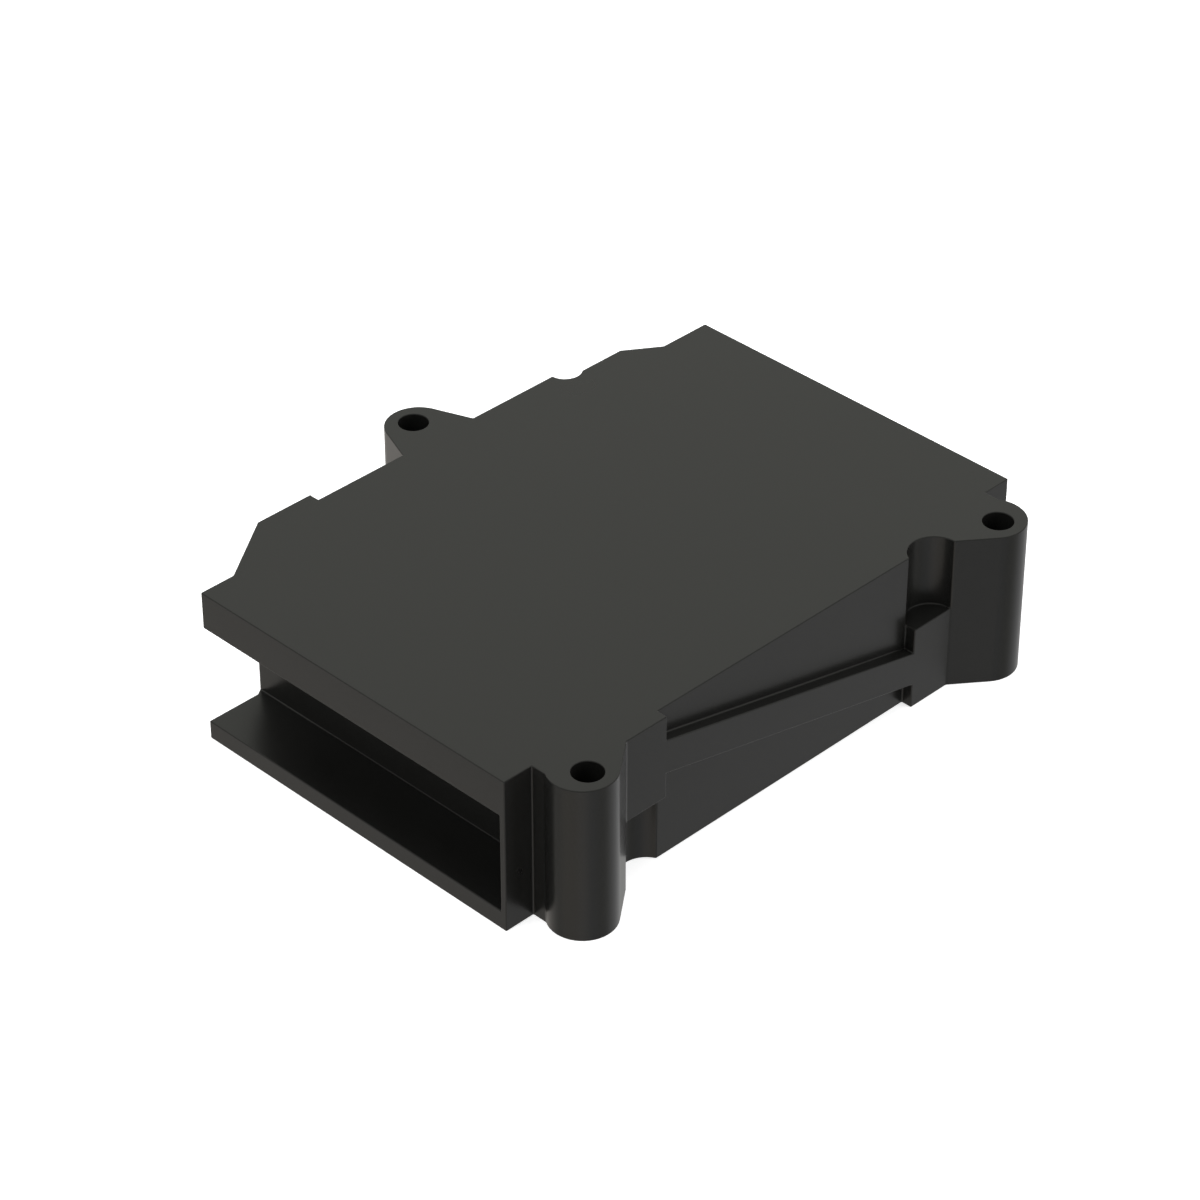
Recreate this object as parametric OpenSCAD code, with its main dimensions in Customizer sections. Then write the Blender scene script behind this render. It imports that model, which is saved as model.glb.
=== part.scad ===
// Junction box: one moulded housing with three bosses for through bolts, a cable
// trough across each end, and a cover screwed into its underside. A terminal
// strip and two cable clamps sit inside. Millimetres, +Z up, long axis on X.
// The origin is on the underside, at the centre of the three fixing holes.
// The outside is the same when it is turned half a turn about Y, so one outline
// serves the upper part and, turned over, the lower part.

/* [Housing] */
// Length over the two end blocks
body_len = 100; // [98:1:108]
// Height of the housing
body_h = 25; // [24:0.5:30]
// Near face of the end blocks, from the fixing centre
end_near = 32.5; // [32:0.25:33.5]
// Far face of the end blocks, from the fixing centre
end_far = 27.5; // [26.5:0.25:28.5]
// Length of each end block beyond the wide body
end_step = 5; // [4:0.25:6]
// Thickness of the side walls
wall = 2; // [1.5:0.1:2.4]
// Thickness of the wall over the terminals
roof = 2.5; // [1.5:0.1:3]

/* [Side pads] */
// Near face of the pads, from the fixing centre
near_pad = 37.5; // [37:0.25:38.5]
// Far face of the pads, from the fixing centre
far_pad = 35; // [34.5:0.25:36]
// Depth of the recess between the pads
recess = 1.75; // [1:0.25:2.25]
// Gap between the two near pads
near_gap = 50; // [46:1:52]
// Width of a near pad
near_pad_w = 7.6; // [6.5:0.1:8.2]
// Gap between the two far pads
far_gap = 46.5; // [42:0.5:48]
// How far each pad passes the middle of the height
pad_lap = 1; // [0.5:0.1:2]
// Upright thickness of the sloping band
band_h = 5.5; // [3:0.25:7]
// Slope of the band, in degrees
band_angle = 13; // [8:0.5:15]
// Radius of the near pockets
near_pocket_r = 4; // [3:0.1:4.2]
// Radius of the far pockets
far_pocket_r = 2.6; // [2.2:0.1:3]
// Depth of the far pockets behind the recess
far_shelf = 2; // [1:0.25:2.2]
// Slope of the far corners, in degrees
corner_angle = 34.3; // [30:0.1:38]
// End face to the foot of the slope beside a far pad
pad_foot = 5.9; // [5:0.1:7]
// End face to the foot of the slope beside a far pocket
pocket_foot = 9; // [8:0.1:9.5]

/* [Fixing bosses] */
// Spacing of the two near holes
hole_span = 81.5; // [80:0.5:84]
// Near holes to the far hole, across the box
hole_rise = 77; // [76:0.5:79]
// Diameter of the fixing holes
hole_d = 4.5; // [3.5:0.1:5.5]
// Outer radius of a boss
boss_r = 5; // [4.5:0.1:6]
// How far the boss round sits inward of its hole
boss_shift = 1; // [0:0.25:1.5]
// Width of the far boss where it leaves the recess
boss_foot = 14; // [12:0.5:18]

/* [Cable troughs] */
// Height of a trough
trough_h = 16; // [15:0.5:16.5]
// Depth of a trough
trough_depth = 10; // [8:0.5:10.5]
// Thinner of the two plates beside a trough
plate_thin = 3; // [2.9:0.1:4]
// Wall that closes the near end of a trough
trough_wall = 1; // [0.8:0.1:2]

/* [Cover] */
// Thickness of the cover
cover_t = 2.4; // [1.8:0.1:2.6]
// How far the cover sits above the underside
cover_rise = 0.3; // [0.1:0.1:0.5]
// Width of the ledge that carries the seal
ledge = 2; // [1.5:0.1:2.2]
// Thickness of the pressed seal
seal_t = 0.8; // [0.5:0.1:1.2]
// Gap round the cover and other drop-in pieces
fit = 0.15; // [0.1:0.05:0.25]
// Height of the stiffening rim inside the cover
rim_h = 1.6; // [1:0.1:2]
// Width of the stiffening rim
rim_w = 1.4; // [1:0.1:2]
// Diameter of the cover screws
cover_screw_d = 3; // [2.5:0.1:3.2]
// Length of the cover screws
cover_screw_len = 12; // [9:0.5:14]
// Radius of the posts that take the cover screws
post_r = 3.5; // [3:0.1:3.8]

/* [Terminal strip] */
// Number of poles
poles = 5; // [3:1:5]
// Spacing of the poles
pole_pitch = 8; // [7.5:0.1:8.2]
// Width of the strip across its poles
strip_w = 17; // [15.5:0.5:19]
// Height of the strip to the top of its screw towers
strip_h = 13; // [12:0.25:13.5]
// Height of the strip's legs on the roof
strip_leg = 4; // [2:0.25:4.5]
// Outer diameter of the connector tubes
tube_d = 4.6; // [4:0.1:5]
// Bore of the connector tubes
tube_bore = 3; // [2.4:0.1:3.4]
// Diameter of the clamping screws
clamp_screw_d = 2.5; // [2:0.1:2.6]
// Diameter of the screws that hold the strip
strip_screw_d = 2.5; // [2:0.1:2.6]

/* [Cable entries] */
// Number of entries in each end wall
entries = 4; // [2:1:4]
// Spacing of the entries
entry_pitch = 12; // [11:0.25:12.5]
// Diameter of the entry holes
entry_d = 6.6; // [5:0.1:7]
// Depth of the entry centres below the trough's outer plate
entry_drop = 5.5; // [5.2:0.1:7]
// Diameter of a grommet's flanges
flange_d = 8.6; // [8:0.1:9]
// Thickness of a grommet's flanges
flange_t = 1; // [0.6:0.1:1.3]
// Inside diameter of a grommet
grommet_bore = 4.2; // [3:0.1:4.5]
// Thickness of the skin that closes an unused grommet
skin_t = 0.6; // [0.4:0.1:0.8]
// Diameter of the cables that the clamps hold
cable_d = 4; // [3:0.1:4.8]
// Width of a clamp bar along the cables
clamp_w = 6.4; // [5:0.1:6.8]
// Height of a clamp bar
clamp_h = 4.5; // [4:0.1:5]
// Diameter of the screws that hold the clamp bars
bar_screw_d = 2.5; // [2:0.1:2.8]

/* [Hidden] */
$fn = 64;
over = 1;
// Small fixed sizes of the inner pieces
clamp_gap = 0.6;
clamp_end = 4;
comb_t = 2;
bar_screw_bite = 6;
pole_gap = 1.2;
tower_wall = 0.5;
tube_floor = 2.7;
tube_cover = 1.2;
tube_inset = 1;
strip_edge = 1;
strip_web_h = 4;
strip_leg_r = 3;
clamp_screw_len = 5;
screw_open = 0.2;
strip_tip_gap = 0.5;
flange_edge = 0.3;

half_len = body_len / 2;
mid_h = body_h / 2;
half_part_h = mid_h + pad_lap;
corner_x = half_len - end_step;
near_recess = near_pad - recess;
far_recess = far_pad - recess;
far_floor = far_recess - far_shelf;
near_x0 = near_gap / 2;
near_x1 = near_x0 + near_pad_w;
near_pocket_x = near_x1 - near_pocket_r;
far_x0 = far_gap / 2;
far_pocket_x = far_x0 + far_pocket_r;
slope = tan(corner_angle);
pad_foot_x = half_len - pad_foot;
pocket_foot_x = half_len - pocket_foot;

hole_x = hole_span / 2;
hole_y = hole_rise / 2;
boss_y = hole_y - boss_shift;

trough_x = half_len - trough_depth;
trough_z0 = plate_thin;
trough_z1 = plate_thin + trough_h;
trough_near = end_near - trough_wall;

// Inset of the cover's recess and of the cavity from the outer faces
recess_inset = wall;
cavity_inset = wall + ledge;
ledge_z = cover_rise + cover_t + seal_t;
roof_z = body_h - roof;
cavity_x = trough_x - cavity_inset;
cavity_near = near_recess - cavity_inset;
cavity_far = far_floor - cavity_inset;
cavity_far_mid = far_recess - cavity_inset;

// The posts stand in the walls, far enough to fill the corner between two of them
post_sink = 0.7;
post_in = post_r * post_sink;
post_spots = [
    for (x = [-1, 1]) [x * (cavity_x - post_in), post_in - cavity_near],
    [0, post_in - cavity_near],
    for (x = [-1, 1]) [x * (cavity_x - post_in), cavity_far - post_in],
    [0, cavity_far_mid - post_in]
];
head_ratio = 1.9;
cover_head_d = cover_screw_d * head_ratio;
cover_head_h = (cover_head_d - cover_screw_d) / 2;
head_sink = 0.1;
pilot = 0.84;
screw_play = 0.4;
snug = 0.05;
slot_w = 0.6;
slot_d = 0.7;
pan_h = 1.6;

entry_y = (end_far - trough_near) / 2;
entry_z = trough_z1 - entry_drop;
entry_spots = [for (i = [1:entries]) entry_y + (i - (entries + 1) / 2) * entry_pitch];
end_wall = trough_x - cavity_x;

// The comb and bar stand just clear of the grommets' inner flanges
clamp_x = cavity_x - flange_t - clamp_gap - clamp_w / 2;
clamp_len = (entries - 1) * entry_pitch + cable_d + clamp_end;
clamp_screw_spots = [entry_spots[0] + entry_pitch / 2, entry_spots[entries - 1] - entry_pitch / 2];
bar_screw_len = clamp_h + bar_screw_bite;

strip_z = roof_z - strip_leg;
pole_w = pole_pitch - pole_gap;
pole_spots = [for (i = [1:poles]) entry_y + (i - (poles + 1) / 2) * pole_pitch];
tower_x = strip_w / 4;
tower_r = tube_d / 2 + tower_wall;
tube_z = tube_d / 2 + tube_floor;
tube_len = strip_w - 2 * tube_inset;
block_h = tube_z + tube_d / 2 + tube_cover;
strip_screw_y = (poles - 2) * pole_pitch / 2;
strip_screw_spots = [entry_y - strip_screw_y, entry_y + strip_screw_y];
strip_screw_len = block_h + strip_leg - strip_tip_gap;

plastic = [0.12, 0.12, 0.12];
cover_black = [0.16, 0.16, 0.16];
rubber_black = [0.07, 0.07, 0.07];
terminal_white = [0.85, 0.84, 0.8];
brass = [0.8, 0.65, 0.3];
steel = [0.7, 0.71, 0.72];

// Point where a line from p touches the circle of radius r about c; side is 1 or -1
function tangent_point(p, c, r, side) =
    let (
        d = norm(c - p),
        run = sqrt(d * d - r * r),
        a = atan2(c[1] - p[1], c[0] - p[0]) + side * asin(r / d)
    )
    p + run * [cos(a), sin(a)];

// Turned half a turn about the box's cross axis, at mid height
module turned_over() {
    translate([0, 0, body_h]) rotate([0, 180, 0]) children();
}

// One near boss with the block behind it; the block starts at x0
module near_boss_plan(x0) {
    foot = [near_x1, -near_pad];
    centre = [hole_x, -boss_y];
    touch = tangent_point(foot, centre, boss_r, -1);
    reach = min(corner_x - hole_x, boss_r);
    polygon([
        [x0, -end_near + over], [x0, -near_pad], foot, touch, centre,
        [corner_x, -boss_y + sqrt(boss_r * boss_r - reach * reach)],
        [corner_x, -end_near + over]
    ]);
    translate(centre) circle(boss_r);
}

module far_boss_plan() {
    centre = [0, boss_y];
    right = [boss_foot / 2, far_recess];
    left = [-boss_foot / 2, far_recess];
    polygon([
        left, left - [0, over], right - [0, over], right,
        tangent_point(right, centre, boss_r, -1), centre, tangent_point(left, centre, boss_r, 1)
    ]);
    translate(centre) circle(boss_r);
}

// Outline of the upper part, seen from above: pads at -X, pockets at +X
module upper_plan() {
    difference() {
        union() {
            translate([-half_len, -end_near]) square([body_len, end_near + end_far]);
            polygon([
                [-corner_x, -near_recess], [corner_x, -near_recess],
                [corner_x, end_far - over], [pocket_foot_x, end_far],
                [pocket_foot_x - (far_floor - end_far) / slope, far_floor],
                [far_pocket_x, far_floor], [far_pocket_x, far_recess],
                [-far_x0, far_recess], [-far_x0, far_pad],
                [-pad_foot_x + (far_pad - end_far) / slope, far_pad],
                [-pad_foot_x, end_far], [-corner_x, end_far - over]
            ]);
            near_boss_plan(near_pocket_x);
            mirror([1, 0]) near_boss_plan(near_x0);
            far_boss_plan();
        }
        translate([near_pocket_x, -near_pad]) circle(near_pocket_r);
        translate([far_pocket_x, far_recess]) circle(far_pocket_r);
    }
}

// Sloping band between the two pads of a side; it falls towards +X
module band(gap, face) {
    reach = gap / 2 + over / 2;
    fall = reach * tan(band_angle);
    translate([0, face, mid_h]) rotate([90, 0, 0]) linear_extrude(recess + over)
        polygon([
            [-reach, fall - band_h / 2], [reach, -fall - band_h / 2],
            [reach, band_h / 2 - fall], [-reach, fall + band_h / 2]
        ]);
}

module outer_form() {
    translate([0, 0, body_h - half_part_h]) linear_extrude(half_part_h) upper_plan();
    turned_over() translate([0, 0, body_h - half_part_h]) linear_extrude(half_part_h) upper_plan();
    band(near_gap, over - near_recess);
    band(far_gap, far_pad);
}

// Trough across the -X end: closed at its near end, open at its far end
module trough() {
    translate([-half_len - over, -trough_near, trough_z0])
        cube([trough_depth + over, trough_near + far_pad + over, trough_h]);
}

// Space inside the outer faces, drawn in by d, clear of the pockets' walls
module inner_plan(d) {
    x = trough_x - d;
    far_x = far_x0 - d;
    back = d / cos(corner_angle);
    slope_x = pocket_foot_x - (far_floor - d + back - end_far) / slope;
    slope_y = end_far - back + (pocket_foot_x - x) * slope;
    difference() {
        polygon([
            [-x, d - near_recess], [x, d - near_recess], [x, slope_y],
            [slope_x, far_floor - d], [far_x, far_floor - d], [far_x, far_recess - d],
            [-far_x, far_recess - d], [-far_x, far_floor - d], [-slope_x, far_floor - d],
            [-x, slope_y]
        ]);
        for (side = [-1, 1]) translate([side * near_pocket_x, -near_pad]) circle(near_pocket_r + d);
    }
}

module at_posts() {
    for (spot = post_spots) translate(spot) children();
}

module cavity_plan() {
    difference() {
        inner_plan(cavity_inset);
        at_posts() circle(post_r);
    }
}

// The entries stand at one height at -X and, turned over, at another at +X
function entry_height(side) = side < 0 ? entry_z : body_h - entry_z;

module at_entries(side) {
    for (y = entry_spots) translate([0, y, entry_height(side)]) children();
}

module at_clamp_screws(side) {
    for (y = clamp_screw_spots) translate([side * clamp_x, y, entry_height(side)]) children();
}

module entry_holes(side) {
    at_entries(side) translate([side * (trough_x + cavity_x) / 2, 0, 0]) rotate([0, 90, 0])
        cylinder(d = entry_d, h = end_wall + 2 * over, center = true);
}

module cable_runs(side) {
    at_entries(side) translate([side * clamp_x, 0, 0]) rotate([0, 90, 0])
        cylinder(d = cable_d, h = clamp_w + 2 * over, center = true);
}

// Comb that hangs from the roof, over the cables of one end
module clamp_comb(side) {
    drop = roof_z - entry_height(side) + over;
    difference() {
        union() {
            translate([side * clamp_x - comb_t / 2, entry_y - clamp_len / 2, entry_height(side)])
                cube([comb_t, clamp_len, drop]);
            at_clamp_screws(side) cylinder(r = clamp_w / 2, h = drop);
        }
        cable_runs(side);
        translate([0, 0, -over]) at_clamp_screws(side)
            cylinder(d = bar_screw_d * pilot, h = bar_screw_len - clamp_h + 2 * over);
    }
}

module strip_legs() {
    for (y = strip_screw_spots) translate([0, y, strip_z]) difference() {
        cylinder(r = strip_leg_r, h = strip_leg + over / 2);
        translate([0, 0, -over]) cylinder(d = strip_screw_d * pilot, h = strip_leg + 2 * over);
    }
}

module housing() {
    color(plastic) {
        difference() {
            outer_form();
            trough();
            turned_over() trough();
            for (spot = [[-hole_x, -hole_y], [hole_x, -hole_y], [0, hole_y]])
                translate([spot[0], spot[1], -over]) cylinder(d = hole_d, h = body_h + 2 * over);
            translate([0, 0, -over]) linear_extrude(ledge_z + over) inner_plan(recess_inset);
            translate([0, 0, ledge_z - over]) linear_extrude(roof_z - ledge_z + over) cavity_plan();
            translate([0, 0, ledge_z - over]) at_posts()
                cylinder(d = cover_screw_d * pilot, h = cover_screw_len);
            for (side = [-1, 1]) entry_holes(side);
        }
        strip_legs();
        for (side = [-1, 1]) clamp_comb(side);
    }
}

// Drop-in cover with a countersunk hole at each post and a rim that stiffens it
module cover() {
    color(cover_black) difference() {
        union() {
            translate([0, 0, cover_rise]) linear_extrude(cover_t) inner_plan(recess_inset + fit);
            translate([0, 0, cover_rise]) linear_extrude(cover_t + seal_t + rim_h) difference() {
                inner_plan(cavity_inset + fit);
                inner_plan(cavity_inset + fit + rim_w);
                at_posts() circle(post_r + 2 * fit);
            }
        }
        at_posts() {
            cylinder(d = cover_screw_d + screw_play, h = body_h);
            translate([0, 0, cover_rise - over])
                cylinder(d = cover_head_d + screw_play, h = over + head_sink);
            translate([0, 0, cover_rise + head_sink])
                cylinder(d1 = cover_head_d + screw_play, d2 = cover_screw_d + screw_play, h = cover_head_h);
        }
    }
}

// Flat seal between the cover and the ledge, widened round each post
module cover_seal() {
    color(rubber_black) translate([0, 0, cover_rise + cover_t]) linear_extrude(seal_t) difference() {
        inner_plan(recess_inset + fit);
        cavity_plan();
        at_posts() circle(d = cover_screw_d + screw_play);
    }
}

// Cross recess for a screwdriver, cut downwards from z = 0
module cross_recess(d) {
    for (turn = [0, 90]) rotate(turn) translate([-d / 2, -slot_w / 2, -slot_d])
        cube([d, slot_w, slot_d + over]);
}

// Screw shank, drawn at the width of its core so that it fills its pilot hole
module shank(d, length) {
    translate([0, 0, -length]) cylinder(d = d * pilot - 2 * snug, h = length);
}

module countersunk_screw(d, head_d, length) {
    head_h = (head_d - d) / 2;
    difference() {
        union() {
            translate([0, 0, -head_h]) cylinder(d1 = d, d2 = head_d, h = head_h);
            shank(d, length);
        }
        cross_recess(head_d / 2);
    }
}

module pan_screw(d, length) {
    difference() {
        union() {
            cylinder(d = d * head_ratio, h = pan_h);
            shank(d, length);
        }
        translate([0, 0, pan_h]) cross_recess(d);
    }
}

// Screws are drawn head up; on the box all their heads face down
module head_down() {
    rotate([180, 0, 0]) children();
}

module cover_screws() {
    color(steel) at_posts() translate([0, 0, cover_rise + head_sink]) head_down()
        countersunk_screw(cover_screw_d, cover_head_d, cover_screw_len);
}

// The strip hangs from the roof on its legs; its own base is at z = 0, facing up
module strip_place() {
    translate([0, 0, strip_z]) rotate([0, 180, 0]) children();
}

module at_towers() {
    for (y = pole_spots) for (x = [-tower_x, tower_x]) translate([x, y, 0]) children();
}

module tube_place(i) {
    translate([0, pole_spots[i - 1], tube_z]) rotate([0, 90, 0]) children();
}

module terminal_strip() {
    span = (poles - 1) * pole_pitch;
    color(terminal_white) strip_place() difference() {
        union() {
            for (y = pole_spots) translate([0, y + pole_w / 2, 0]) rotate([90, 0, 0])
                linear_extrude(pole_w) polygon([
                    [-strip_w / 2, 0], [strip_w / 2, 0], [strip_w / 2, block_h - strip_edge],
                    [strip_w / 2 - strip_edge, block_h], [strip_edge - strip_w / 2, block_h],
                    [-strip_w / 2, block_h - strip_edge]
                ]);
            translate([-strip_w / 4, entry_y - span / 2, 0]) cube([strip_w / 2, span, strip_web_h]);
            at_towers() cylinder(r = tower_r, h = strip_h);
        }
        for (i = [1:poles]) tube_place(i) {
            cylinder(d = tube_d + 2 * snug, h = strip_w + over, center = true);
            for (turn = [0, 180]) rotate([turn, 0, 0]) translate([0, 0, tube_len / 2])
                cylinder(d1 = tube_d + 2 * snug, d2 = tube_d + strip_edge, h = (strip_w - tube_len) / 2);
        }
        translate([0, 0, tube_z]) at_towers() cylinder(d = clamp_screw_d + screw_play, h = strip_h);
        for (y = strip_screw_spots) translate([0, y, -over])
            cylinder(d = strip_screw_d + screw_play / 2, h = strip_h);
    }
}

// Brass tube of one pole, tapped for a clamping screw near each end
module connector_tube(i) {
    color(brass) strip_place() difference() {
        tube_place(i) difference() {
            cylinder(d = tube_d, h = tube_len, center = true);
            cylinder(d = tube_bore, h = tube_len + over, center = true);
        }
        for (x = [-tower_x, tower_x]) translate([x, pole_spots[i - 1], tube_z])
            cylinder(d = clamp_screw_d, h = tube_d);
    }
}

// Slotted screws, backed off to leave the tubes open
module clamping_screws() {
    color(steel) strip_place() translate([0, 0, tube_z + screw_open]) at_towers() difference() {
        cylinder(d = clamp_screw_d - 2 * snug, h = clamp_screw_len);
        translate([-clamp_screw_d / 2, -slot_w / 2, clamp_screw_len - slot_d])
            cube([clamp_screw_d, slot_w, slot_d + over]);
    }
}

module strip_screws() {
    color(steel) strip_place() for (y = strip_screw_spots) translate([0, y, block_h])
        pan_screw(strip_screw_d, strip_screw_len);
}

// Rubber grommet, drawn with its outer flange up and the end wall's face at z = 0
module grommet() {
    bore_r = grommet_bore / 2;
    neck_r = entry_d / 2 - snug;
    outer_r = flange_d / 2;
    inner_r = outer_r - flange_edge;
    color(rubber_black) rotate_extrude() polygon([
        [0, flange_t - skin_t], [bore_r, flange_t - skin_t], [bore_r, -end_wall - flange_t],
        [inner_r - flange_edge, -end_wall - flange_t], [inner_r, -end_wall], [neck_r, -end_wall],
        [neck_r, 0], [outer_r, 0], [outer_r, flange_t - flange_edge], [inner_r, flange_t], [0, flange_t]
    ]);
}

module end_grommet(side, i) {
    translate([side * trough_x, entry_spots[i - 1], entry_height(side)]) rotate([0, side * 90, 0])
        grommet();
}

// Bar that is screwed up against the comb, with a half-round seat for each cable
module cable_clamp(side) {
    color(plastic) difference() {
        translate([0, 0, entry_height(side) - clamp_h]) linear_extrude(clamp_h)
            translate([side * clamp_x - clamp_w / 2, entry_y - clamp_len / 2])
                square([clamp_w, clamp_len]);
        cable_runs(side);
        translate([0, 0, -clamp_h - over]) at_clamp_screws(side)
            cylinder(d = bar_screw_d + screw_play, h = clamp_h + 2 * over);
    }
}

module cable_clamp_screws() {
    color(steel) for (side = [-1, 1]) translate([0, 0, -clamp_h]) at_clamp_screws(side) head_down()
        pan_screw(bar_screw_d, bar_screw_len);
}

housing();
cover();
cover_seal();
cover_screws();
terminal_strip();
for (i = [1:poles]) connector_tube(i);
clamping_screws();
strip_screws();
for (i = [1:entries]) end_grommet(-1, i);
for (i = [1:entries]) end_grommet(1, i);
cable_clamp(-1);  // cable_clamp_left
cable_clamp(1);  // cable_clamp_right
cable_clamp_screws();
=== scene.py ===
from math import atan2, hypot, pi, radians

import bmesh
import bpy
from mathutils import Euler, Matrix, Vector


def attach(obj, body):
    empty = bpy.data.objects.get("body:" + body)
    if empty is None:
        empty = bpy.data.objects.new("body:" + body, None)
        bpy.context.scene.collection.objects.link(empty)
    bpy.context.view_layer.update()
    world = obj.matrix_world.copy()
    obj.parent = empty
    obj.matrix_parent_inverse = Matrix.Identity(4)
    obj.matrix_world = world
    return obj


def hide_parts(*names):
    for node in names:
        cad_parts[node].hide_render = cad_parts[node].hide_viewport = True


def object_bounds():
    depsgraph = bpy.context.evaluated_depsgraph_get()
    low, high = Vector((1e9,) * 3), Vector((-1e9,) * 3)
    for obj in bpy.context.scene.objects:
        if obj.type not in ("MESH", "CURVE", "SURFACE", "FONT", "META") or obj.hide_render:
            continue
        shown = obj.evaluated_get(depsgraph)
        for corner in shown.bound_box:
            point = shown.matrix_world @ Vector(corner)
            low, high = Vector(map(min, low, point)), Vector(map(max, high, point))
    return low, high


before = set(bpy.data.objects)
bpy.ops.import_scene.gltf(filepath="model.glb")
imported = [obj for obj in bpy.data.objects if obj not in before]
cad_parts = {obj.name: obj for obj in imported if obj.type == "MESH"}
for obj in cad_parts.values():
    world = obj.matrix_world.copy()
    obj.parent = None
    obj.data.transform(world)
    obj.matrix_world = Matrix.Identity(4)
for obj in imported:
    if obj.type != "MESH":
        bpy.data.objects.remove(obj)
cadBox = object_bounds()
mm = 0.001
print("frame loaded:", len(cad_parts), "nodes")


# The camera: a long lens far off that looks across the nearest corner of the box, 35 degrees down
cameraPlace = {
    "location": (-332.5 * mm, -332.5 * mm, 345 * mm),
    "looking": (1, 1, -1),
    "lens": 121.5,
    "sensor": 36,
    "clip": (10 * mm, 10),
}


def addCamera(place):
    data = bpy.data.cameras.new("camera")
    data.lens = place["lens"]
    data.sensor_width = place["sensor"]
    data.clip_start, data.clip_end = place["clip"]
    camera = bpy.data.objects.new("camera", data)
    camera.location = place["location"]
    camera.rotation_euler = Vector(place["looking"]).to_track_quat("-Z", "Y").to_euler()
    bpy.context.scene.collection.objects.link(camera)
    bpy.context.scene.camera = camera


# Small helpers for node trees. An input is a value or another node's output
def addNode(tree, kind, inputs=(), **settings):
    node = tree.nodes.new(kind)
    for name, value in settings.items():
        setattr(node, name, value)
    for socket, value in dict(inputs).items():
        if hasattr(value, "is_output"):
            tree.links.new(value, node.inputs[socket])
        else:
            node.inputs[socket].default_value = value
    return node


def newMaterial(name):
    material = bpy.data.materials.new(name)
    material.use_nodes = True
    tree = material.node_tree
    return material, tree, tree.nodes["Principled BSDF"]


# Lamps that light the box evenly; the gloss mirrors the room below instead of them
lamps = {
    "topSoftbox": {"at": (0.1, 0.15, 0.9), "size": 0.8, "watts": 4.5},
    "leftSoftbox": {"at": (-0.62, 0.08, 0.62), "size": 0.5, "watts": 1.8},
    "rightSoftbox": {"at": (0.5, -0.8, 0.4), "size": 0.5, "watts": 2.5},
}

# The room as gloss sees it: an even dim light, and soft glows round a direction that is given in
# degrees. A glow starts at one cosine from that direction and is full at the other
room = {
    "backdrop": (1, 1, 1, 1),
    "fill": (0.5, 0.5, 0.5, 1),
    "dim": (0.318, 0.318, 0.3),
    "glows": {
        "bright wall": {"azimuth": 45, "height": 40, "from": 0.3, "full": 0.95,
                        "colour": (0.325, 0.333, 0.3)},
        "warm side": {"azimuth": -160, "height": -35, "from": 0.7, "full": 0.98,
                      "colour": (0.26, 0.22, 0.18)},
        "far side": {"azimuth": 92, "height": -35, "from": 0.7, "full": 0.98,
                     "colour": (0.305, 0.27, 0.245)},
        "right side": {"azimuth": -12, "height": -35, "from": 0.78, "full": 0.99,
                       "colour": (0.258, 0.258, 0.28)},
        "near side": {"azimuth": -118, "height": -35, "from": 0.82, "full": 0.99,
                      "colour": (0.1, 0.108, 0.13)},
        "pale floor": {"azimuth": 45, "height": -50, "from": 0.6, "full": 0.95,
                       "colour": (0.16, 0.16, 0.155)},
        "upper left": {"azimuth": 140, "height": 35, "from": 0.75, "full": 0.97,
                       "colour": (0.14, 0.14, 0.13)},
        "upper right": {"azimuth": -50, "height": 35, "from": 0.75, "full": 0.97,
                        "colour": (0.12, 0.12, 0.12)},
    },
}


def addLamp(name, lamp):
    data = bpy.data.lights.new(name, "AREA")
    data.shape = "SQUARE"
    data.size = lamp["size"]
    data.energy = lamp["watts"]
    light = bpy.data.objects.new(name, data)
    light.location = lamp["at"]
    light.rotation_euler = (-Vector(lamp["at"])).to_track_quat("-Z", "Y").to_euler()
    light.visible_glossy = False
    light.visible_camera = False
    bpy.context.scene.collection.objects.link(light)


def addWorld(look):
    world = bpy.data.worlds.new("room")
    bpy.context.scene.world = world
    world.use_nodes = True
    tree = world.node_tree
    way = addNode(tree, "ShaderNodeTexCoord").outputs["Generated"]
    total = addNode(tree, "ShaderNodeCombineXYZ", dict(zip("XYZ", look["dim"]))).outputs[0]
    for name, glow in look["glows"].items():
        turn = Euler((0, -radians(glow["height"]), radians(glow["azimuth"])))
        centre = turn.to_matrix() @ Vector((1, 0, 0))
        towards = addNode(tree, "ShaderNodeVectorMath", {0: way, 1: centre},
                          operation="DOT_PRODUCT", label=name).outputs["Value"]
        share = addNode(tree, "ShaderNodeMapRange",
                        {"Value": towards, "From Min": glow["from"], "From Max": glow["full"]},
                        interpolation_type="SMOOTHSTEP").outputs["Result"]
        light = addNode(tree, "ShaderNodeVectorMath", {0: glow["colour"], "Scale": share},
                        operation="SCALE").outputs[0]
        total = addNode(tree, "ShaderNodeVectorMath", {0: total, 1: light}, operation="ADD").outputs[0]
    rays = addNode(tree, "ShaderNodeLightPath").outputs
    mirrored = addNode(tree, "ShaderNodeMix",
                       {"Factor": rays["Is Glossy Ray"], "A": look["fill"], "B": total},
                       data_type="RGBA").outputs["Result"]
    seen = addNode(tree, "ShaderNodeMath", {0: rays["Is Camera Ray"], 1: rays["Is Transmission Ray"]},
                   operation="MAXIMUM").outputs[0]
    shown = addNode(tree, "ShaderNodeMix", {"Factor": seen, "A": mirrored, "B": look["backdrop"]},
                    data_type="RGBA").outputs["Result"]
    tree.links.new(shown, tree.nodes["Background"].inputs["Color"])


# A pale floor: white to the camera save for the box's soft shadow, clear to the gloss and from below
floorLook = {"reach": 1.6, "below": 0.02 * mm, "colour": (0.9, 0.9, 0.9, 1), "glow": 0.7}


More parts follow.
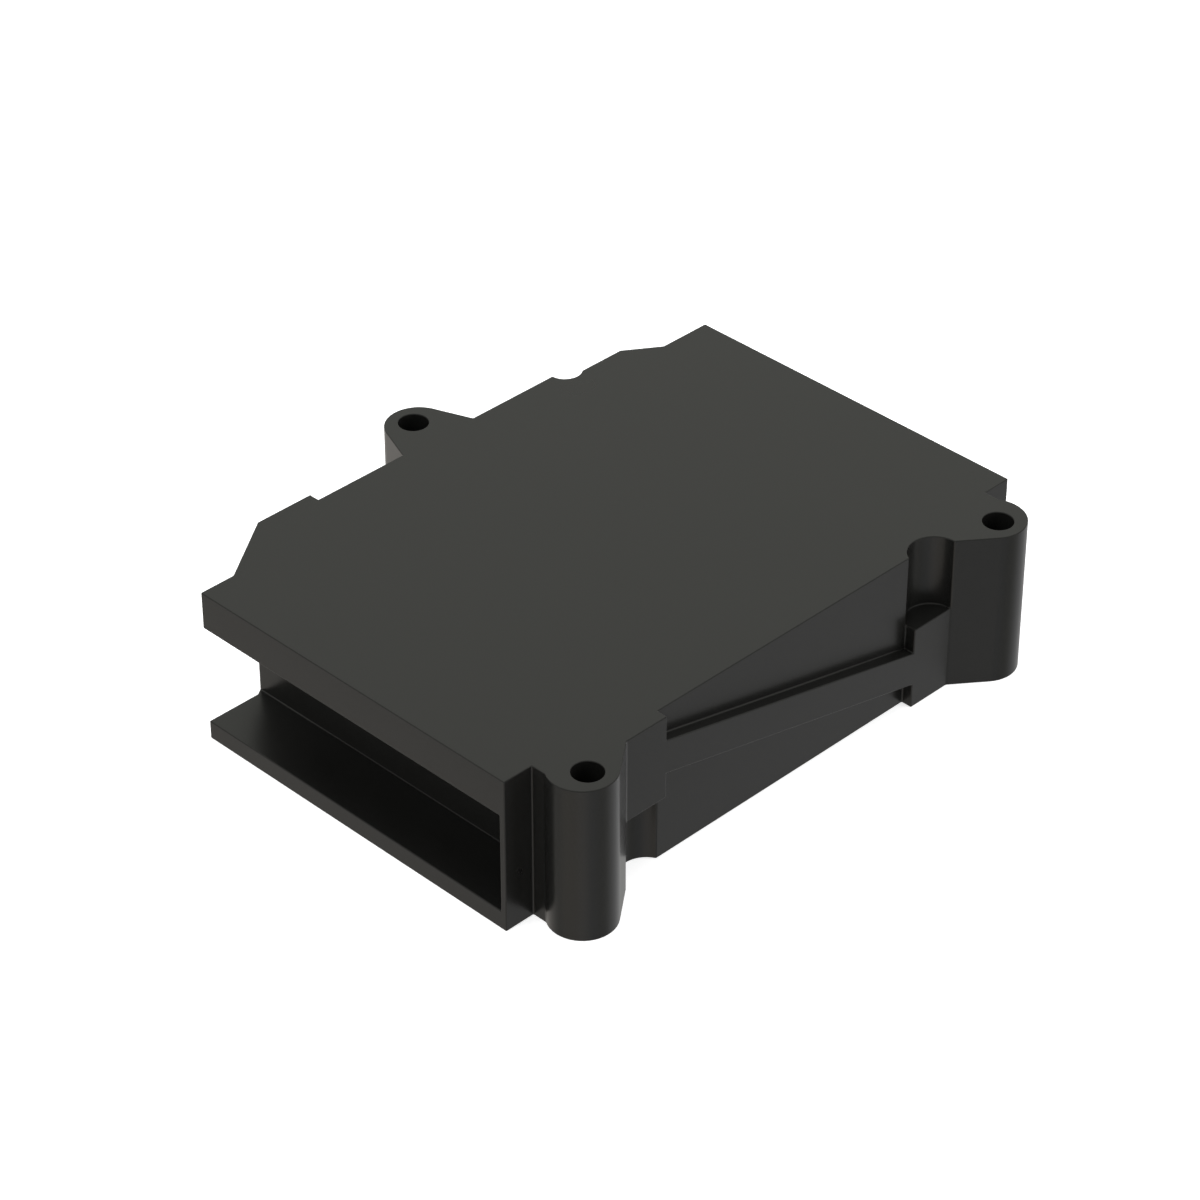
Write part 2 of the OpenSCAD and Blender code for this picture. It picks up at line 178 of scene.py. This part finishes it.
def addFloor(look):
    bm = bmesh.new()
    bmesh.ops.create_grid(bm, x_segments=1, y_segments=1, size=look["reach"])
    bmesh.ops.translate(bm, verts=bm.verts, vec=(0, 0, cadBox[0].z - look["below"]))
    mesh = bpy.data.meshes.new("floor")
    bm.to_mesh(mesh)
    bm.free()
    floor = bpy.data.objects.new("floor", mesh)
    bpy.context.scene.collection.objects.link(floor)
    material, tree = newMaterial("paleFloor")[:2]
    tree.nodes.clear()
    rays = addNode(tree, "ShaderNodeLightPath").outputs
    pale = addNode(tree, "ShaderNodeBsdfDiffuse", {"Color": look["colour"]}).outputs[0]
    glow = addNode(tree, "ShaderNodeEmission", {"Strength": look["glow"]}).outputs[0]
    lit = addNode(tree, "ShaderNodeAddShader", {0: pale, 1: glow}).outputs[0]
    shown = addNode(tree, "ShaderNodeMixShader", {0: rays["Is Camera Ray"], 1: pale, 2: lit}).outputs[0]
    clear = addNode(tree, "ShaderNodeBsdfTransparent").outputs[0]
    below = addNode(tree, "ShaderNodeNewGeometry").outputs["Backfacing"]
    unseen = addNode(tree, "ShaderNodeMath", {0: rays["Is Glossy Ray"], 1: below},
                     operation="MAXIMUM").outputs[0]
    final = addNode(tree, "ShaderNodeMixShader", {0: unseen, 1: shown, 2: clear}).outputs[0]
    addNode(tree, "ShaderNodeOutputMaterial", {"Surface": final})
    mesh.materials.append(material)


addCamera(cameraPlace)
addWorld(room)
addFloor(floorLook)
for name, lamp in lamps.items():
    addLamp(name, lamp)
print("studio ready")


# Finishes: two close tones in soft patches, a sheen that follows them, and a fine grain in relief.
# Turned metal also has the fine rings that a tool leaves along one axis
surfaceDetail = {
    "patch": 3,
    "grain": 2,
    "rings": 1,
    "ringWobble": 1.5,
    "relief": 0.5,
}


def newFinish(name, look):
    material, tree, shader = newMaterial(name)
    spot = addNode(tree, "ShaderNodeTexCoord").outputs["Object"]
    patch = addNode(tree, "ShaderNodeTexNoise",
                    {"Vector": spot, "Scale": look["patch"], "Detail": surfaceDetail["patch"]}).outputs[0]
    tone = addNode(tree, "ShaderNodeMix",
                   {"Factor": patch, "A": look["tones"][0] + (1,), "B": look["tones"][1] + (1,)},
                   data_type="RGBA").outputs["Result"]
    sheen = addNode(tree, "ShaderNodeMapRange",
                    {"Value": patch, "To Min": look["roughness"][0],
                     "To Max": look["roughness"][1]}).outputs[0]
    grain = addNode(tree, "ShaderNodeTexNoise",
                    {"Vector": spot, "Scale": look["grain"], "Detail": surfaceDetail["grain"]}).outputs[0]
    relief = addNode(tree, "ShaderNodeBump", {"Height": grain, "Distance": look["grainDepth"],
                     "Strength": surfaceDetail["relief"]}).outputs[0]
    if "rings" in look:
        rings = look["rings"]
        wave = addNode(tree, "ShaderNodeTexWave",
                       {"Vector": spot, "Scale": rings["scale"], "Detail": surfaceDetail["rings"],
                        "Distortion": surfaceDetail["ringWobble"]},
                       bands_direction=rings["along"]).outputs["Fac"]
        relief = addNode(tree, "ShaderNodeBump", {"Height": wave, "Distance": rings["depth"],
                         "Strength": surfaceDetail["relief"], "Normal": relief}).outputs[0]
    tree.links.new(tone, shader.inputs["Base Color"])
    tree.links.new(sheen, shader.inputs["Roughness"])
    tree.links.new(relief, shader.inputs["Normal"])
    shader.inputs["Metallic"].default_value = look.get("metallic", 0)
    return material


# A CAD node's mesh, its triangles merged: points closer than merge become one, and so do faces
# within flat degrees of each other. flatShare is how fully the large faces set the shading
meshCare = {"merge": 0.01 * mm, "flat": 0.2, "flatShare": 100}


# Edges sharper than look["sharpest"] degrees are rounded, each by its edgeWeight's share of the radius
def softCopy(nodeName, look, edgeWeight=None, reshape=None):
    bm = bmesh.new()
    bm.from_mesh(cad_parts[nodeName].data)
    bmesh.ops.remove_doubles(bm, verts=bm.verts, dist=meshCare["merge"])
    bmesh.ops.dissolve_limit(bm, angle_limit=radians(meshCare["flat"]), verts=bm.verts, edges=bm.edges)
    weight = bm.edges.layers.float.new("bevel_weight_edge")
    for edge in bm.edges:
        if edge.calc_face_angle(0) > radians(look["sharpest"]):
            edge[weight] = edgeWeight(edge) if edgeWeight else 1
    if reshape:
        reshape(bm, look)
    mesh = bpy.data.meshes.new(look["name"])
    bm.to_mesh(mesh)
    bm.free()
    piece = bpy.data.objects.new(look["name"], mesh)
    bpy.context.scene.collection.objects.link(piece)
    for polygon in mesh.polygons:
        polygon.use_smooth = True
    bevel = piece.modifiers.new("edges", "BEVEL")
    bevel.width = look["radius"]
    bevel.segments = look["segments"]
    bevel.limit_method = "WEIGHT"
    bevel.use_clamp_overlap = False
    flat = piece.modifiers.new("flat faces", "WEIGHTED_NORMAL")
    flat.mode = "FACE_AREA"
    flat.weight = meshCare["flatShare"]
    return piece


# The piece stands in for its CAD node, which is hidden: it rides the root body and carries its new finish
def dress(piece, nodeName, finish):
    piece.data.materials.append(finish)
    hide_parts(nodeName)
    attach(piece, "root")


# Housing: one moulding. Its inner corners have the full radius and its outer edges the crisp share
# of it. The hollow stays as cut, save where the round pockets of the near side reach into its boxes
housingLook = {
    "name": "housingMoulding",
    "sharpest": 20,
    "radius": 0.25 * mm,
    "segments": 3,
    "crisp": 0.64,
    "hollow": [(Vector((-38.1, -33.8, -0.1)) * mm, Vector((38.1, 29.3, 22.6)) * mm),
               (Vector((-21.3, 29.2, -0.1)) * mm, Vector((21.3, 31.3, 22.6)) * mm)],
    "pocket": {"x": 28.6 * mm, "y": -37.5 * mm, "reach": 4.1 * mm},
    "tones": ((0.0088, 0.0088, 0.0082), (0.0102, 0.0102, 0.0094)),
    "roughness": (0.26, 0.31),
    "patch": 60,
    "grain": 9000,
    "grainDepth": 0.002 * mm,
}


def inHollow(point):
    pocket = housingLook["pocket"]
    if hypot(abs(point.x) - pocket["x"], point.y - pocket["y"]) < pocket["reach"]:
        return False
    return any(all(low[i] < point[i] < high[i] for i in range(3)) for low, high in housingLook["hollow"])


def housingEdge(edge):
    if all(inHollow(v.co) for v in edge.verts):
        return 0
    return housingLook["crisp"] if edge.is_convex else 1


housingBlack = newFinish("housingBlack", housingLook)
dress(softCopy("housing", housingLook, housingEdge), "housing", housingBlack)
print("housing dressed")


# Cover: the same plastic from a rougher mould
coverLook = {
    "name": "coverMoulding",
    "sharpest": 30,
    "radius": 0.15 * mm,
    "segments": 3,
    "tones": ((0.0105, 0.0105, 0.01), (0.013, 0.013, 0.012)),
    "roughness": (0.36, 0.44),
    "patch": 80,
    "grain": 4500,
    "grainDepth": 0.006 * mm,
}
coverBlack = newFinish("coverBlack", coverLook)
dress(softCopy("cover", coverLook), "cover", coverBlack)

# Cable clamps: bars in the cover's plastic
clampLook = {"sharpest": 30, "radius": 0.2 * mm, "segments": 3}
for side in ("left", "right"):
    look = dict(clampLook, name=side + "ClampBar")
    dress(softCopy("cable_clamp_" + side, look), "cable_clamp_" + side, coverBlack)
print("cover and clamps dressed")


# Rubber: matt, with a trace of the mould's dusting powder
rubberLook = {
    "tones": ((0.012, 0.012, 0.012), (0.022, 0.022, 0.021)),
    "roughness": (0.55, 0.72),
    "patch": 350,
    "grain": 3000,
    "grainDepth": 0.01 * mm,
}
rubber = newFinish("mattRubber", rubberLook)
sealLook = {"name": "coverSeal", "sharpest": 30, "radius": 0.1 * mm, "segments": 2}
dress(softCopy("cover_seal", sealLook), "cover_seal", rubber)
grommetLook = {"sharpest": 20, "radius": 0.1 * mm, "segments": 2, "count": 4}
for side in ("left", "right"):
    for i in range(1, grommetLook["count"] + 1):
        look = dict(grommetLook, name=f"{side}Grommet{i}")
        dress(softCopy(f"grommet_{side}_{i}", look), f"grommet_{side}_{i}", rubber)
print("seal and grommets dressed")


# Terminal strip: natural nylon
stripLook = {
    "name": "terminalStrip",
    "sharpest": 30,
    "radius": 0.12 * mm,
    "segments": 2,
    "tones": ((0.75, 0.73, 0.66), (0.7, 0.68, 0.6)),
    "roughness": (0.36, 0.45),
    "patch": 150,
    "grain": 4000,
    "grainDepth": 0.004 * mm,
}
naturalNylon = newFinish("naturalNylon", stripLook)
dress(softCopy("terminal_strip", stripLook), "terminal_strip", naturalNylon)


# Connector tubes: turned brass, rounded only at the rims of their ends
tubeLook = {
    "count": 5,
    "sharpest": 30,
    "radius": 0.12 * mm,
    "segments": 3,
    "endFacing": 0.99,
    "metallic": 1,
    "tones": ((0.8, 0.6, 0.29), (0.73, 0.53, 0.24)),
    "roughness": (0.2, 0.32),
    "patch": 300,
    "grain": 6000,
    "grainDepth": 0.001 * mm,
    "rings": {"along": "X", "scale": 2600, "depth": 0.002 * mm},
}


def tubeEdge(edge):
    return 1 if any(abs(face.normal.x) > tubeLook["endFacing"] for face in edge.link_faces) else 0


turnedBrass = newFinish("turnedBrass", tubeLook)
for i in range(1, tubeLook["count"] + 1):
    tube = softCopy(f"connector_tube_{i}", dict(tubeLook, name=f"connectorTube{i}"), tubeEdge)
    dress(tube, f"connector_tube_{i}", turnedBrass)
print("terminal strip and tubes dressed")


# Screws: zinc plated
screwLook = {
    "sharpest": 30,
    "radius": 0.07 * mm,
    "segments": 2,
    "metallic": 1,
    "tones": ((0.64, 0.65, 0.66), (0.56, 0.57, 0.6)),
    "roughness": (0.26, 0.38),
    "patch": 500,
    "grain": 5000,
    "grainDepth": 0.002 * mm,
}
zincPlate = newFinish("zincPlate", screwLook)

# All screws point up. A thread is a groove that winds round the shank from belowHead over the
# screw's low end, and stops short of the tip. The crest is the share of half a turn that stays
# full, and steep is how fast the groove falls away from it
plasticThread = {"crest": 0.15, "steep": 2.5, "rings": 8, "tip": 0.5 * mm, "chamfer": 0.3 * mm}
metalThread = {"crest": 0.16, "steep": 1.2, "rings": 6, "tip": 0.3 * mm, "chamfer": 0.2 * mm}
threadFit = {"onCore": 0.02 * mm, "pastStop": 0.01 * mm}
screws = {
    "cover_screws": {"name": "coverScrews", "core": 1.21 * mm, "pitch": 1.34 * mm, "depth": 0.24 * mm,
                     "belowHead": 1.6 * mm, "thread": plasticThread},
    "strip_screws": {"name": "stripScrews", "core": 1 * mm, "pitch": 1.12 * mm, "depth": 0.2 * mm,
                     "belowHead": 6 * mm, "thread": plasticThread},
    "cable_clamp_screws": {"name": "clampBarScrews", "core": 1 * mm, "pitch": 1.12 * mm, "depth": 0.2 * mm,
                           "belowHead": 1.9 * mm, "thread": plasticThread},
    "clamping_screws": {"name": "clampingScrews", "core": 1.2 * mm, "pitch": 0.45 * mm, "depth": 0.24 * mm,
                        "belowHead": 0.9 * mm, "thread": metalThread},
}


# The vertices of each separate screw in a mesh
def shells(bm):
    seen = set()
    for first in bm.verts:
        if first not in seen:
            shell = [first]
            seen.add(first)
            for v in shell:
                near = [edge.other_vert(v) for edge in v.link_edges]
                shell += [other for other in near if other not in seen]
                seen.update(near)
            yield shell


# Rings of new vertices go round each shank and are drawn in by their place in the turn
def cutThreads(bm, look):
    thread = look["thread"]
    for shell in list(shells(bm)):
        low, high = ([pick(v.co[i] for v in shell) for i in range(3)] for pick in (min, max))
        axis = ((low[0] + high[0]) / 2, (low[1] + high[1]) / 2)
        start, stop = low[2] + look["belowHead"], high[2] - thread["tip"]
        rings = round((stop - start) / look["pitch"] * thread["rings"])
        own = set(shell)
        geometry = shell + [item for item in bm.edges[:] + bm.faces[:] if item.verts[0] in own]
        for ring in range(rings + 1):
            place = (0, 0, start + (stop - start) * ring / rings)
            geometry = bmesh.ops.bisect_plane(bm, geom=geometry, plane_co=place, plane_no=(0, 0, 1))["geom"]
        for v in (item for item in geometry if isinstance(item, bmesh.types.BMVert)):
            x, y, z = v.co.x - axis[0], v.co.y - axis[1], v.co.z
            if z < start or abs(hypot(x, y) - look["core"]) > threadFit["onCore"]:
                continue
            turn = (z - start) / look["pitch"] - atan2(y, x) / (2 * pi)
            groove = min(1, max(0, thread["steep"] * (abs(2 * (turn % 1) - 1) - thread["crest"])))
            fade = min(1, (z - start) / look["pitch"], max(0, stop - z) / look["pitch"])
            drawn = look["depth"] * groove * fade
            if z > stop + threadFit["pastStop"]:
                drawn = thread["chamfer"]
            keep = 1 - drawn / look["core"]
            v.co.x, v.co.y = axis[0] + x * keep, axis[1] + y * keep


for nodeName, screw in screws.items():
    piece = softCopy(nodeName, dict(screwLook, **screw), reshape=cutThreads)
    dress(piece, nodeName, zincPlate)
print("screws dressed")

bpy.context.scene.view_settings.view_transform = "Standard"
